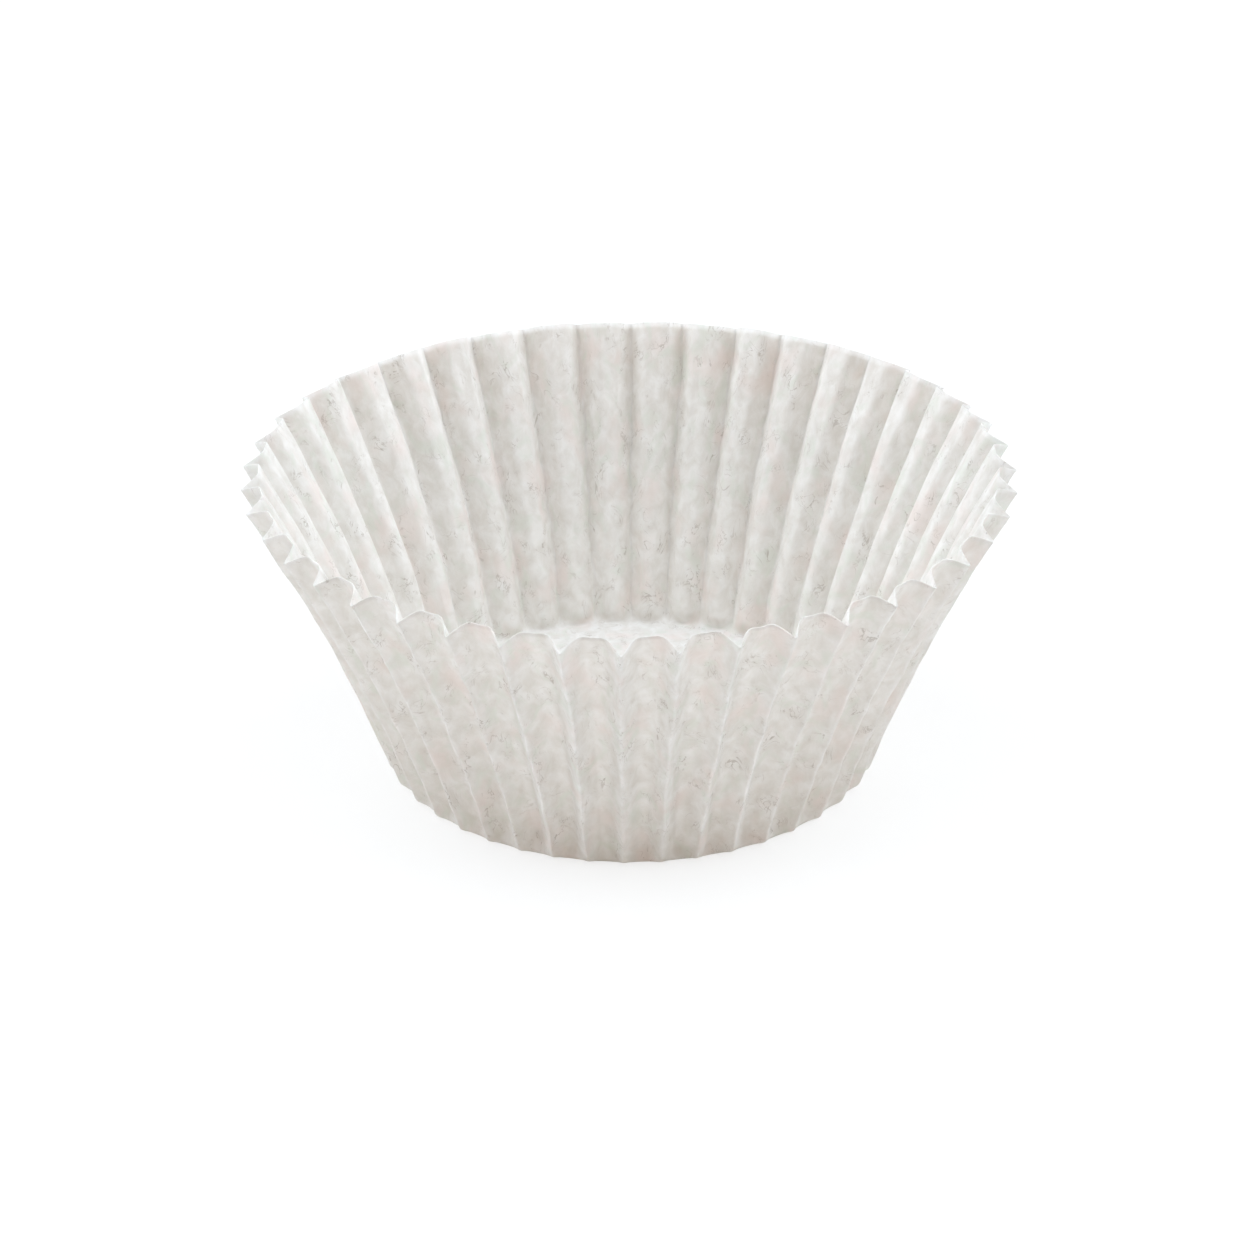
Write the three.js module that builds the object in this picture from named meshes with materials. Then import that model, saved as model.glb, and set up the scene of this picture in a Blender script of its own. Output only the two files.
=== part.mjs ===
// A pleated paper baking cup: a flat round base, a tight corner and a flared wall of flutes.
// Millimetres, +Z up, origin at the middle of the base's underside, the front towards -Y.
import * as THREE from 'three';
import { mergeVertices } from 'three/addons/utils/BufferGeometryUtils.js';

// The overall form, measured over the outward ridges
const rimRadius = 38;
const footRadius = 25.2; // where the line of the wall meets the table
const height = 30.5;
const wallBow = 0.8; // how far the middle of the wall lies inside a straight line
const cornerRadius = 1.3; // between the base and the wall
const paperThickness = 0.15;

// The flutes: narrow ridges outward, wide folds inward, and a steep flank between them
const fluteCount = 43;
const rimFluteDepth = 2.1;
const footFluteDepth = 1.7;
const ridgeShare = 0.1; // the width of a ridge's top, as a share of one flute
const flankShare = 0.25; // the width of each flank

// The flutes aren't spaced evenly: pressing crowds them on one side and spreads them on the other
const firstRidgeAngle = THREE.MathUtils.degToRad(-82.2); // from the front, towards +X
const sideCrowding = 0.054; // radians, once around the cup
const sideCrowdingTurn = 1.15;
const quarterCrowding = 0.017; // radians, twice around the cup
const quarterCrowdingTurn = 1.87;

// How finely the curves are stepped
const cornerSteps = 3;
const wallSteps = 5;
const flankSteps = 2;

// The line of the ridges, seen from the side, as a radius for each height above the table
function wallRadius(z) {
  const share = z / height;
  return THREE.MathUtils.lerp(footRadius, rimRadius, share) - 4 * wallBow * share * (1 - share);
}

// The direction of that line, as an angle above the horizontal
function wallAngle(z) {
  const share = z / height;
  const outwardPerRise = (rimRadius - footRadius - 4 * wallBow * (1 - 2 * share)) / height;
  return Math.atan2(1, outwardPerRise);
}

// One level of the profile: a ridge's radius and height, the flutes' depth there, and the wall's
// direction, since the flutes are pressed in square to the wall
function profileLevel(radius, z, direction, depth) {
  return { radius, z, direction, depth };
}

// The flutes start at nothing on the flat base, deepen quickly and are full at the corner's top
function cornerLevels() {
  const turn = wallAngle(0);
  const centreRadius = footRadius - cornerRadius * Math.tan(turn / 2);
  const levels = [];
  for (let i = 0; i <= cornerSteps; i += 1) {
    const share = i / cornerSteps;
    const radius = centreRadius + cornerRadius * Math.sin(turn * share);
    const z = cornerRadius * (1 - Math.cos(turn * share));
    const depth = footFluteDepth * Math.sin((share * Math.PI) / 2);
    levels.push(profileLevel(radius, z, turn, depth));
  }
  return levels;
}

function wallLevels(startHeight) {
  const levels = [];
  for (let i = 1; i <= wallSteps; i += 1) {
    const share = i / wallSteps;
    const z = THREE.MathUtils.lerp(startHeight, height, share);
    const depth = THREE.MathUtils.lerp(footFluteDepth, rimFluteDepth, share);
    levels.push(profileLevel(wallRadius(z), z, wallAngle(z), depth));
  }
  return levels;
}

// A shift that comes and goes as a wave around the cup and is nothing at the first ridge
function crowding(amount, turn, angle) {
  return amount * (Math.sin(angle + turn) - Math.sin(turn));
}

// The angle around the cup of a place counted in flutes from the first ridge
function placeAngle(place) {
  const even = (2 * Math.PI * place) / fluteCount;
  const side = crowding(sideCrowding, sideCrowdingTurn, even);
  const quarter = crowding(quarterCrowding, quarterCrowdingTurn, 2 * even);
  return firstRidgeAngle + even + side + quarter;
}

// How far the paper has gone inward, from 0 on a ridge to 1 on the fold between two ridges:
// it leaves the ridge steeply and rounds into the fold
function foldShare(across) {
  const fromRidge = Math.min(across, 1 - across) - ridgeShare / 2;
  const flank = THREE.MathUtils.clamp(fromRidge / flankShare, 0, 1);
  return Math.sin((flank * Math.PI) / 2);
}

// The places across one flute where the paper turns, from one ridge to the next
function foldPlaces() {
  const rising = [];
  for (let i = 0; i <= flankSteps; i += 1) rising.push(ridgeShare / 2 + (flankShare * i) / flankSteps);
  const falling = rising.map((place) => 1 - place).reverse();
  return [...rising, ...falling];
}

// A point of the paper's outer face: the ridge line, moved inward by the fold
function outerPoint(level, place) {
  const inward = level.depth * foldShare(place % 1);
  const radius = level.radius - inward * Math.sin(level.direction);
  const z = level.z + inward * Math.cos(level.direction);
  const angle = placeAngle(place);
  return new THREE.Vector3(radius * Math.sin(angle), -radius * Math.cos(angle), z);
}

function allPlaces() {
  const places = [];
  for (let flute = 0; flute < fluteCount; flute += 1) {
    for (const place of foldPlaces()) places.push(flute + place);
  }
  return places;
}

// The outer face as rings of points, from the flat base's edge up to the rim
function outerRings() {
  const corner = cornerLevels();
  const levels = [...corner, ...wallLevels(corner[corner.length - 1].z)];
  const places = allPlaces();
  return levels.map((level) => places.map((place) => outerPoint(level, place)));
}

// The middle of the base's underside
const baseMiddle = new THREE.Vector3(0, 0, 0);

function faceNormal(a, b, c) {
  return new THREE.Vector3().crossVectors(b.clone().sub(a), c.clone().sub(a)).normalize();
}

// The normals of the faces that meet at one point of the outer rings
function normalsAt(rings, row, column) {
  const count = rings[row].length;
  const at = (r, c) => (r < 0 ? baseMiddle : rings[r][(c + count) % count]);
  const here = at(row, column);
  const before = at(row, column - 1);
  const after = at(row, column + 1);
  const below = at(row - 1, column);
  const normals = [faceNormal(here, before, below), faceNormal(here, below, after)];
  if (row + 1 < rings.length) {
    const above = at(row + 1, column);
    normals.push(faceNormal(here, above, before), faceNormal(here, after, above));
  }
  return normals;
}

// The inner face lies one paper thickness inside every face that meets at the point
function innerPoint(rings, row, column) {
  const normals = normalsAt(rings, row, column);
  const mean = new THREE.Vector3();
  for (const normal of normals) mean.add(normal);
  mean.normalize();
  let slant = 0;
  for (const normal of normals) slant += mean.dot(normal) / normals.length;
  return rings[row][column].clone().addScaledVector(mean, -paperThickness / slant);
}

function innerRings(rings) {
  return rings.map((ring, row) => ring.map((point, column) => innerPoint(rings, row, column)));
}

// The faces between two rings, wound so that they look outward when the second is above the first
function bandFaces(lower, upper, triangles) {
  const count = lower.length;
  for (let i = 0; i < count; i += 1) {
    const next = (i + 1) % count;
    triangles.push([lower[i], lower[next], upper[next]], [lower[i], upper[next], upper[i]]);
  }
}

// The flat disc inside a ring, looking up or down
function discFaces(ring, middle, looksUp, triangles) {
  for (let i = 0; i < ring.length; i += 1) {
    const next = ring[(i + 1) % ring.length];
    triangles.push(looksUp ? [middle, ring[i], next] : [middle, next, ring[i]]);
  }
}

function cupGeometry() {
  const outer = outerRings();
  const inner = innerRings(outer);
  const skin = [...outer, ...[...inner].reverse()];
  const triangles = [];
  for (let row = 0; row + 1 < skin.length; row += 1) bandFaces(skin[row], skin[row + 1], triangles);
  const floorMiddle = baseMiddle.clone().setZ(paperThickness);
  discFaces(outer[0], baseMiddle, false, triangles);
  discFaces(inner[0], floorMiddle, true, triangles);
  const soup = new THREE.BufferGeometry().setFromPoints(triangles.flat());
  const geometry = mergeVertices(soup, paperThickness / 1000);
  geometry.computeVertexNormals();
  return geometry;
}

// White greaseproof paper, thin enough to let light through
const greaseproofPaper = new THREE.MeshStandardMaterial({
  color: 0xe9e6de,
  roughness: 0.75,
  metalness: 0,
  side: THREE.DoubleSide,
});

const cup = new THREE.Mesh(cupGeometry(), greaseproofPaper);
cup.name = 'baking_cup';

const group = new THREE.Group();
group.add(cup);

export default group;
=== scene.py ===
import math
import bpy
import numpy as np
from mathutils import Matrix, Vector


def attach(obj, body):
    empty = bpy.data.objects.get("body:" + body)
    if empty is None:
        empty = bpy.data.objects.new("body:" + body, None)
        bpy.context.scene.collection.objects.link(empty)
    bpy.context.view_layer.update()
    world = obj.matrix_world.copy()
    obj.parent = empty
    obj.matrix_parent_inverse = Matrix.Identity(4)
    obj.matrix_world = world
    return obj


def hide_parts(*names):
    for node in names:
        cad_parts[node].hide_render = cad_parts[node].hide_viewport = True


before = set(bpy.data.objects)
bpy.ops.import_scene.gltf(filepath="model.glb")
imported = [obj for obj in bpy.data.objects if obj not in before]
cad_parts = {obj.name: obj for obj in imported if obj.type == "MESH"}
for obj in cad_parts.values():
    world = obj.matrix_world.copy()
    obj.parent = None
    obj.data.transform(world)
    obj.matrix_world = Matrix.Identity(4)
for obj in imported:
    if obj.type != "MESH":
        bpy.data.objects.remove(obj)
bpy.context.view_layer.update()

mm = 0.001


# Colours and nodes

def srgb(hexColour):
    channels = [int(hexColour[i:i + 2], 16) / 255 for i in (1, 3, 5)]
    linear = [c / 12.92 if c <= 0.04045 else ((c + 0.055) / 1.055) ** 2.4 for c in channels]
    return (*linear, 1)


def addNode(tree, kind, settings=None, links=None):  # a setting is a socket's value, or else a property
    node = tree.nodes.new(kind)
    for name, value in (settings or {}).items():
        if isinstance(name, int) or name in node.inputs:
            node.inputs[name].default_value = value
        else:
            setattr(node, name, value)
    for name, source in (links or {}).items():
        tree.links.new(source, node.inputs[name])
    return node


def newMaterial(name):
    material = bpy.data.materials.new(name)
    material.use_nodes = True
    material.node_tree.nodes.clear()
    return material


# The pleated paper, in millimetres, on the same ridge line as the solid

cup = {
    "rimRadius": 38.0,  # over the ridges
    "footRadius": 25.2,  # where the line of the wall meets the table
    "middleRadius": 32.0,  # the lengths of the dents around the cup are measured here
    "height": 30.5,
    "wallBow": 0.8,
    "cornerRadius": 1.3,
    "paper": 0.08,
    "flutes": 43,
    "rimDepth": 2.1,
    "footDepth": 1.7,
    "shallowShare": 0.22,  # how much shallower the flutes still are where they leave the base
    "shallowLength": 2.5,
    "cornerRise": 1.6,  # the flutes deepen slowly at first, so that the base stays round
    "ridgeShare": 0.04,  # of one flute
    "rimFlankShare": 0.32,
    "footFlankShare": 0.36,  # towards the foot the folds have hardly any flat left
    "foldRounding": 3,  # flanks are straight low down, and turn round into the folds late
    "firstRidge": math.radians(-82.2),  # from the front, towards +X
    "sideCrowding": 0.054,
    "sideTurn": 1.15,
    "quarterCrowding": 0.017,
    "quarterTurn": 1.87,
    "drawnOut": 0.6,  # pressing draws the paper's clouds out up the wall, to 1 / 0.6 of their length
    "flankSteps": [0, 0.12, 0.3, 0.52, 0.76, 1],  # closer together where the paper bends
    "foldSteps": 4,
    "wallRows": 50,
    "cornerRows": 5,
    "floorRows": 6,
    "floorInner": 1.5,  # radius of the first ring on the floor
}

crinkle = {
    "seed": 7,
    "rimSaddle": 0.55,  # how much lower the rim is in front and behind
    "ridgeSway": 0.10,  # the slow wander of a ridge line
    "ridgeSwayLength": 6.0,
    "ridgeJag": 0.13,  # the short jags where the paper was creased
    "ridgeJagLength": 1.6,
    "jagSharpness": 4,  # higher keeps the jags closer to the ridge
    "ridgeCrush": 0.12,  # ridges are pressed in here and there
    "ridgeCrushLength": 3.0,
    "ridgeSpread": 0.18,  # each ridge is a little out of step at the rim
    "depthSpread": 0.10,  # as a share of the depth
    "depthSpreadLength": 14.0,
    "dent": 0.14,  # soft dents in the folds
    "dentLength": 5.0,
    "pucker": 0.02,
    "puckerLength": 2.2,
    "floorSwell": 0.10,
    "floorSwellLength": 9.0,
    "floorSwellWidth": 24.0,
    "rimTrim": 0.22,  # unevenness of the cut edge
    "trimReach": 6,  # higher keeps it closer to the edge
}

chance = np.random.default_rng(crinkle["seed"])  # every crinkle comes from this one seed


def wallRadius(z):
    share = z / cup["height"]
    straight = cup["footRadius"] + (cup["rimRadius"] - cup["footRadius"]) * share
    return straight - 4 * cup["wallBow"] * share * (1 - share)


def wallAngle(z):
    share = z / cup["height"]
    outward = cup["rimRadius"] - cup["footRadius"] - 4 * cup["wallBow"] * (1 - 2 * share)
    return np.arctan2(1, outward / cup["height"])


def profileRows():  # radius, height, direction of the paper and depth of the flutes, row by row
    turn = wallAngle(0)
    centre = cup["footRadius"] - cup["cornerRadius"] * math.tan(turn / 2)
    floorRadius = np.linspace(cup["floorInner"], centre, cup["floorRows"], endpoint=False)
    floorZero = np.zeros(cup["floorRows"])
    share = np.linspace(0, 1, cup["cornerRows"] + 1)
    direction = turn * share
    cornerRadius = centre + cup["cornerRadius"] * np.sin(direction)
    cornerHeight = cup["cornerRadius"] * (1 - np.cos(direction))
    startDepth = cup["footDepth"] * (1 - cup["shallowShare"])
    cornerDepth = startDepth * share ** cup["cornerRise"]
    climb = np.linspace(0, 1, cup["wallRows"] + 1)[1:]
    wallHeight = cornerHeight[-1] + (cup["height"] - cornerHeight[-1]) * climb
    fullDepth = cup["footDepth"] + (cup["rimDepth"] - cup["footDepth"]) * climb
    shallow = cup["shallowShare"] * np.exp((cornerHeight[-1] - wallHeight) / cup["shallowLength"])
    radius = np.concatenate([floorRadius, cornerRadius, wallRadius(wallHeight)])
    z = np.concatenate([floorZero, cornerHeight, wallHeight])
    paperTurn = np.concatenate([floorZero, np.full_like(direction, turn), wallAngle(wallHeight)])
    depth = np.concatenate([floorZero, cornerDepth, fullDepth * (1 - shallow)])
    return radius, z, paperTurn, depth


def flutePlaces():  # the columns, counted in flutes from the first ridge
    half = cup["ridgeShare"] / 2
    flank = half + cup["rimFlankShare"] * np.array(cup["flankSteps"])
    fold = np.linspace(flank[-1], 1 - flank[-1], cup["foldSteps"] + 1)[1:-1]
    one = np.concatenate([[0], flank, fold, 1 - flank[::-1]])
    return (np.arange(cup["flutes"])[:, None] + one[None, :]).ravel()


def placeAngle(place):  # pressing crowds the flutes on one side and spreads them on the other
    even = 2 * math.pi * place / cup["flutes"]
    side = cup["sideCrowding"] * (np.sin(even + cup["sideTurn"]) - math.sin(cup["sideTurn"]))
    quarter = np.sin(2 * even + cup["quarterTurn"]) - math.sin(cup["quarterTurn"])
    return cup["firstRidge"] + even + side + cup["quarterCrowding"] * quarter


def foldShare(across, climb):  # 0 on a ridge, 1 on a fold
    fromRidge = np.minimum(across, 1 - across) - cup["ridgeShare"] / 2
    flankShare = cup["footFlankShare"] + (cup["rimFlankShare"] - cup["footFlankShare"]) * climb
    straight = np.clip(fromRidge / flankShare, 0, 1)
    return straight + (np.sin(straight * math.pi / 2) - straight) * climb ** cup["foldRounding"]


def eased(share):  # a soft step from one knot of the noise to the next
    return share * share * (3 - 2 * share)


def smoothNoise(along, across, length, width):  # from -1 to 1; along and across in mm, across closes
    wayRound = across[-1] + across[1] - across[0]
    columns = max(3, int(round(wayRound / width)))
    knots = chance.uniform(-1, 1, (int(along.max() / length) + 4, columns))
    rowPlace = along / length + 1
    columnPlace = across / wayRound * columns
    row = np.floor(rowPlace).astype(int)
    column = np.floor(columnPlace).astype(int)
    rowShare = eased(rowPlace - row)[:, None]
    columnShare = eased(columnPlace - column)
    here, after = knots[:, column % columns], knots[:, (column + 1) % columns]
    lines = here * (1 - columnShare) + after * columnShare
    return lines[row] * (1 - rowShare) + lines[row + 1] * rowShare


def ridgeNoise(along, place, length):  # one line of noise for each ridge, shared out between ridges
    count = cup["flutes"]
    knots = chance.uniform(-1, 1, (int(along.max() / length) + 4, count))
    rowPlace = along / length + 1
    row = np.floor(rowPlace).astype(int)
    rowShare = eased(rowPlace - row)[:, None]
    lines = knots[row] * (1 - rowShare) + knots[row + 1] * rowShare
    ridge = np.floor(place).astype(int) % count
    share = (place % 1)[None, :]
    return lines[:, ridge] * (1 - share) + lines[:, (ridge + 1) % count] * share


def gridNormals(points):  # rows go outward and up, columns go round
    around = np.roll(points, -1, axis=1) - np.roll(points, 1, axis=1)
    up = np.gradient(points, axis=0)
    normal = np.cross(around, up)
    return normal / np.linalg.norm(normal, axis=2, keepdims=True)


def paperGrid():  # the outer face, and how far each row lies along the paper from the middle
    radius, z, paperTurn, depth = profileRows()
    place = flutePlaces()
    along = radius[0] + np.concatenate([[0], np.cumsum(np.hypot(np.diff(radius), np.diff(z)))])
    across = place * 2 * math.pi * cup["middleRadius"] / cup["flutes"]
    allTheWay = np.zeros_like(along)  # noise that stays the same from foot to rim
    wall = np.clip(depth / cup["footDepth"], 0, 1)[:, None]  # 0 on the floor, 1 up the wall
    climb = np.clip(z / cup["height"], 0, 1)[:, None]
    share = foldShare((place % 1)[None, :], climb)
    onRidge = 1 - share

    swayed = crinkle["ridgeSway"] * ridgeNoise(along, place, crinkle["ridgeSwayLength"])
    jagged = crinkle["ridgeJag"] * ridgeNoise(along, place, crinkle["ridgeJagLength"])
    spread = crinkle["ridgeSpread"] * ridgeNoise(allTheWay, place, 1) * climb
    sideways = wall * (swayed + jagged * onRidge ** crinkle["jagSharpness"] + spread)
    crushed = np.abs(ridgeNoise(along, place, crinkle["ridgeCrushLength"])) * onRidge
    depthNoise = ridgeNoise(along, place + 0.5, crinkle["depthSpreadLength"])  # one value for each fold
    uneven = 1 - crinkle["depthSpread"] * np.abs(depthNoise)
    dent = np.abs(smoothNoise(along, across, crinkle["dentLength"], crinkle["dentLength"]))
    pucker = np.abs(smoothNoise(along, across, crinkle["puckerLength"], crinkle["puckerLength"]))
    trimNoise = np.abs(ridgeNoise(allTheWay, place + 0.5, 1))
    trim = crinkle["rimTrim"] * trimNoise * climb ** crinkle["trimReach"]
    swell = np.abs(smoothNoise(along, across, crinkle["floorSwellLength"], crinkle["floorSwellWidth"]))

    pressed = crinkle["ridgeCrush"] * crushed + crinkle["dent"] * dent + crinkle["pucker"] * pucker
    inward = depth[:, None] * share * uneven + wall * pressed + (1 - wall) * crinkle["floorSwell"] * swell
    angle = placeAngle(place)[None, :] + sideways / np.maximum(radius, 1)[:, None]
    r = radius[:, None] - inward * np.sin(paperTurn)[:, None]
    saddle = crinkle["rimSaddle"] * (1 + np.cos(2 * angle)) / 2
    up = (z[:, None] + inward * np.cos(paperTurn)[:, None]) * (1 - saddle / cup["height"]) - trim
    return np.stack([r * np.sin(angle), -r * np.cos(angle), up], axis=2), along


def flatPlaces(outer, along):  # where each point lay on the flat disc of paper before it was pressed
    level = outer[len(outer) // 2]
    steps = np.linalg.norm(np.roll(level, -1, axis=0) - level, axis=1)
    turn = 2 * math.pi * (np.cumsum(steps) - steps) / steps.sum()
    upWall = np.maximum(along - cup["footRadius"], 0)
    reach = np.minimum(along, cup["footRadius"]) + cup["drawnOut"] * upWall
    return reach[:, None, None] * np.stack([np.cos(turn), np.sin(turn), 0 * turn], axis=1)[None, :, :]


def paperFaces(rows, columns):  # the outer face, the cut edge and the inner face, then the two middles
    faces = []
    for row in range(2 * rows - 1):
        low, high = row * columns, (row + 1) * columns
        for column in range(columns):
            after = (column + 1) % columns
            faces.append((low + column, low + after, high + after, high + column))
    last = (2 * rows - 1) * columns
    under, over = 2 * rows * columns, 2 * rows * columns + 1
    for column in range(columns):
        after = (column + 1) % columns
        faces.append((under, after, column))
        faces.append((over, last + column, last + after))
    return faces


def buildCup():
    outer, along = paperGrid()
    inner = outer - gridNormals(outer) * cup["paper"]
    skin = np.concatenate([outer, inner[::-1]]).reshape(-1, 3)
    middles = [[0, 0, outer[0, :, 2].mean()], [0, 0, inner[0, :, 2].mean()]]
    points = np.concatenate([skin, middles]) * mm
    mesh = bpy.data.meshes.new("pleatedPaper")
    mesh.from_pydata(points.tolist(), [], paperFaces(*outer.shape[:2]))
    mesh.shade_smooth()
    flat = flatPlaces(outer, along)
    flat = np.concatenate([flat, flat[::-1]]).reshape(-1, 3)
    places = mesh.attributes.new("flatPlace", "FLOAT_VECTOR", "POINT")
    places.data.foreach_set("vector", (np.concatenate([flat, np.zeros((2, 3))]) * mm).ravel())
    piece = bpy.data.objects.new("pleatedPaper", mesh)
    bpy.context.scene.collection.objects.link(piece)
    return piece


# Greaseproof paper: cellulose beaten until it is dense and glassy. To the eye it is cloudy,
# a little warm where it is in shade, softly shiny on the creases, and it lets light through

paper = {
    "thin": "#F4F3F1",  # the lighter clouds of the sheet's formation
    "thick": "#E7E4DF",
    "fibre": "#A89C8F",
    "fibreShare": 0.5,
    "through": "#F4ECE2",  # what the light takes on inside the sheet
    "throughShare": 0.18,
    "roughness": (0.54, 0.68),  # in the thin clouds and in the thick ones
    "ior": 1.45,
    "specular": 0.35,
    "bump": 0.6,
    "bumpDepth": 0.05,  # mm
    "noises": {  # size in mm, detail, roughness, how far it is stirred
        "clouds": (1.2, 5, 0.62, 0.4),
        "blush": (3.2, 2, 0.5, 0.0),
        "moss": (2.56, 2, 0.5, 1.5),
        "curls": (2.0, 3, 0.55, 2.2),  # real fibres are finer: drawn coarser so that they show
        "patches": (1.8, 2, 0.5, 0.0),  # fibres lie in loose patches
        "tooth": (0.35, 3, 0.6, 0.0),
        "crumple": (0.9, 4, 0.65, 0.8),
    },
    "ranges": {  # the values of a noise that count as none and as all of it
        "clouds": (0.36, 0.66),
        "blush": (0.52, 0.7),
        "moss": (0.54, 0.7),
        "patches": (0.5, 0.68),
    },
    "curlWidth": (0.020, 0.006),  # from the middle of the noise: the edge and the core of a fibre
    "tints": {"blush": ("#EFE4DF", 0.55), "moss": ("#E4E8DF", 0.5)},  # faint colours, with their share
    "relief": {"tooth": 0.4, "crumple": 0.9, "fibres": -0.4},
}


def greaseproofPaper():
    material = newMaterial("greaseproofPaper")
    tree = material.node_tree
    place = addNode(tree, "ShaderNodeAttribute", {"attribute_name": "flatPlace"}).outputs["Vector"]

    pattern = {}
    for name, (size, detail, roughness, stir) in paper["noises"].items():
        settings = {"Scale": 1 / (size * mm), "Detail": detail, "Roughness": roughness, "Distortion": stir}
        pattern[name] = addNode(tree, "ShaderNodeTexNoise", settings, {"Vector": place}).outputs["Fac"]
    for name, (none, full) in paper["ranges"].items():
        settings = {"From Min": none, "From Max": full}
        spread = addNode(tree, "ShaderNodeMapRange", settings, {"Value": pattern[name]})
        pattern[name] = spread.outputs["Result"]

    # Thin level lines of a stirred noise look like curled fibres
    away = addNode(tree, "ShaderNodeMath", {"operation": "SUBTRACT", 1: 0.5}, {0: pattern["curls"]})
    line = addNode(tree, "ShaderNodeMath", {"operation": "ABSOLUTE"}, {0: away.outputs[0]})
    edge, core = paper["curlWidth"]
    curlSettings = {"From Min": edge, "From Max": core}
    curls = addNode(tree, "ShaderNodeMapRange", curlSettings, {"Value": line.outputs[0]})
    fibreLinks = {0: curls.outputs["Result"], 1: pattern["patches"]}
    pattern["fibres"] = addNode(tree, "ShaderNodeMath", {"operation": "MULTIPLY"}, fibreLinks).outputs[0]

    # In a colour mix, socket 0 is the share, and sockets 6 and 7 are the colours
    sheetColours = {"data_type": "RGBA", 6: srgb(paper["thin"]), 7: srgb(paper["thick"])}
    colour = addNode(tree, "ShaderNodeMix", sheetColours, {0: pattern["clouds"]}).outputs[2]
    overlays = {**paper["tints"], "fibres": (paper["fibre"], paper["fibreShare"])}
    for name, (tint, most) in overlays.items():
        share = addNode(tree, "ShaderNodeMath", {"operation": "MULTIPLY", 1: most}, {0: pattern[name]})
        mixLinks = {0: share.outputs[0], 6: colour}
        colour = addNode(tree, "ShaderNodeMix", {"data_type": "RGBA", 7: srgb(tint)}, mixLinks).outputs[2]

    relief = None
    for name, height in paper["relief"].items():
        reliefLinks = {0: pattern[name]}
        if relief:
            reliefLinks[2] = relief
        settings = {"operation": "MULTIPLY_ADD", 1: height, 2: 0.0}
        relief = addNode(tree, "ShaderNodeMath", settings, reliefLinks).outputs[0]
    bumpSettings = {"Strength": paper["bump"], "Distance": paper["bumpDepth"] * mm}
    normal = addNode(tree, "ShaderNodeBump", bumpSettings, {"Height": relief}).outputs["Normal"]

    smooth, rough = paper["roughness"]
    roughSettings = {"To Min": smooth, "To Max": rough}
    roughness = addNode(tree, "ShaderNodeMapRange", roughSettings, {"Value": pattern["clouds"]})
    surfaceSettings = {"IOR": paper["ior"], "Specular IOR Level": paper["specular"]}
    surfaceLinks = {"Base Color": colour, "Roughness": roughness.outputs["Result"], "Normal": normal}
    surface = addNode(tree, "ShaderNodeBsdfPrincipled", surfaceSettings, surfaceLinks)
    warmSettings = {"data_type": "RGBA", "blend_type": "MULTIPLY", 0: 1.0, 7: srgb(paper["through"])}
    warm = addNode(tree, "ShaderNodeMix", warmSettings, {6: colour}).outputs[2]
    through = addNode(tree, "ShaderNodeBsdfTranslucent", None, {"Color": warm, "Normal": normal})
    sheetLinks = {1: surface.outputs[0], 2: through.outputs[0]}
    sheet = addNode(tree, "ShaderNodeMixShader", {"Fac": paper["throughShare"]}, sheetLinks)
    addNode(tree, "ShaderNodeOutputMaterial", None, {"Surface": sheet.outputs[0]})
    return material


# Camera, at the photograph's viewing angle

view = {
    "rise": 28.16,  # degrees above the table
    "roll": -0.35,
    "distance": 8.0,  # in rim radii
    "pixelsPerRadius": 376.3,  # at the target
    "imageWidth": 1254,
    "target": (-0.008, 0.0, 0.33),  # in rim radii
    "sensor": 36.0,  # mm
    "nearest": 0.005,  # m, where the view begins
}


def addCamera():
    radius = cup["rimRadius"] * mm
    rise = math.radians(view["rise"])
    target = Vector(view["target"]) * radius
    back = Vector((0, -math.cos(rise), math.sin(rise)))
    data = bpy.data.cameras.new("camera")
    data.sensor_width = view["sensor"]
    data.lens = view["sensor"] * view["pixelsPerRadius"] * view["distance"] / view["imageWidth"]
    data.clip_start = view["nearest"]
    camera = bpy.data.objects.new("camera", data)
    camera.location = target + back * view["distance"] * radius
    camera.rotation_euler = (math.pi / 2 - rise, 0, 0)
    camera.rotation_euler.rotate_axis("Z", math.radians(view["roll"]))
    bpy.context.scene.collection.objects.link(camera)
    bpy.context.scene.camera = camera


# Floor, world and lamps: a white table between two large side panels, with least light from the front

studio = {
    "floorSize": 2.4,  # m
    "floorColour": "#F9F9F8",
    "floorGlow": 0.72,  # share of plain white that the camera sees on the floor
    "worldLight": 0.12,
    "worldTint": "#FFDDB8",  # the weak light from the room is warm
    "diffuseBounces": 12,  # light goes to and fro inside a white cup for long
    "allBounces": 16,
}

lamps = {  # place in m, what it looks at, size in m, power in W, colour
    "leftPanel": ((-1.1, 0.3, 0.9), (0, 0.1, 0), 1.8, 25.0, "#EDF6FF"),
    "rightPanel": ((1.1, 0.3, 0.9), (0, 0.1, 0), 1.8, 25.0, "#EDF6FF"),
    "topPanel": ((0.0, -0.35, 1.6), (0, 0, 0), 1.4, 15.6, "#EDF6FF"),
    "lowPanel": ((0.0, -0.9, 0.1), (0, 0, 0), 0.18, 0.42, "#FFCC94"),  # lifts the lower front a little
}


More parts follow.
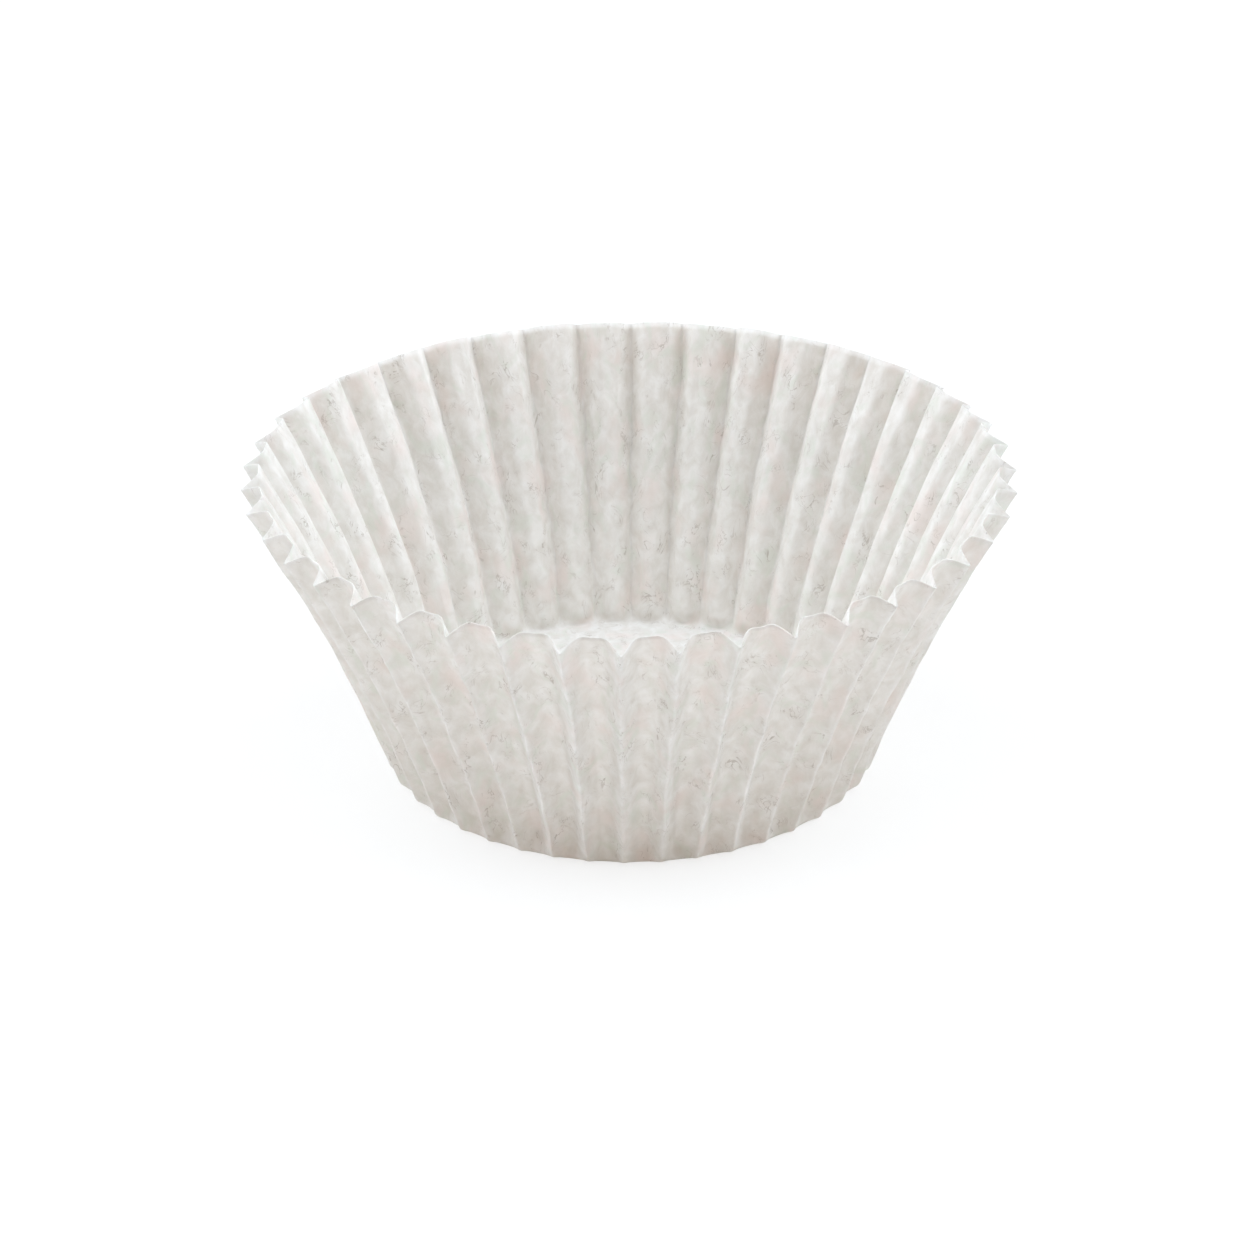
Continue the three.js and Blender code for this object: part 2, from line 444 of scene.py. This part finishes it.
# White paint rolled on a board: matt and even, so it shows only the cup's soft shadow
def paintedTable():
    material = newMaterial("paintedTable")
    tree = material.node_tree
    seen = addNode(tree, "ShaderNodeLightPath").outputs["Is Camera Ray"]
    share = addNode(tree, "ShaderNodeMath", {"operation": "MULTIPLY", 1: studio["floorGlow"]}, {0: seen})
    paint = addNode(tree, "ShaderNodeBsdfDiffuse", {"Color": srgb(studio["floorColour"])})
    glow = addNode(tree, "ShaderNodeEmission", {"Color": (1, 1, 1, 1), "Strength": 1.0})
    mixLinks = {0: share.outputs[0], 1: paint.outputs[0], 2: glow.outputs[0]}
    mix = addNode(tree, "ShaderNodeMixShader", None, mixLinks)
    addNode(tree, "ShaderNodeOutputMaterial", None, {"Surface": mix.outputs[0]})
    return material


def addFloor():
    half = studio["floorSize"] / 2
    corners = [(-half, -half, 0), (half, -half, 0), (half, half, 0), (-half, half, 0)]
    mesh = bpy.data.meshes.new("floor")
    mesh.from_pydata(corners, [], [(0, 1, 2, 3)])
    mesh.materials.append(paintedTable())
    floor = bpy.data.objects.new("floor", mesh)
    bpy.context.scene.collection.objects.link(floor)


def addWorld():
    world = bpy.data.worlds.new("studio")
    world.use_nodes = True
    tree = world.node_tree
    tree.nodes.clear()
    path = addNode(tree, "ShaderNodeLightPath")
    seen = path.outputs["Is Camera Ray"]
    for ray in ("Is Glossy Ray", "Is Transmission Ray"):
        seenLinks = {0: seen, 1: path.outputs[ray]}
        seen = addNode(tree, "ShaderNodeMath", {"operation": "MAXIMUM"}, seenLinks).outputs[0]
    lightSettings = {"Color": srgb(studio["worldTint"]), "Strength": studio["worldLight"]}
    light = addNode(tree, "ShaderNodeBackground", lightSettings)
    white = addNode(tree, "ShaderNodeBackground", {"Color": (1, 1, 1, 1), "Strength": 1.0})
    mixLinks = {0: seen, 1: light.outputs[0], 2: white.outputs[0]}
    mix = addNode(tree, "ShaderNodeMixShader", None, mixLinks)
    addNode(tree, "ShaderNodeOutputWorld", None, {"Surface": mix.outputs[0]})
    bpy.context.scene.world = world


def addLamps():
    for name, (place, aim, size, power, tint) in lamps.items():
        data = bpy.data.lights.new(name, "AREA")
        data.size = size
        data.energy = power
        data.color = srgb(tint)[:3]
        lamp = bpy.data.objects.new(name, data)
        lamp.location = place
        lamp.rotation_euler = (Vector(aim) - Vector(place)).to_track_quat("-Z", "Y").to_euler()
        bpy.context.scene.collection.objects.link(lamp)


bpy.context.scene.view_settings.view_transform = "Standard"
bpy.context.scene.cycles.diffuse_bounces = studio["diffuseBounces"]
bpy.context.scene.cycles.max_bounces = studio["allBounces"]
addCamera()
addFloor()
addWorld()
addLamps()
print("stage: camera, floor and lamps")

pleatedPaper = buildCup()
pleatedPaper.data.materials.append(greaseproofPaper())
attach(pleatedPaper, "root")
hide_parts("baking_cup")
print("cup:", len(pleatedPaper.data.polygons), "faces")
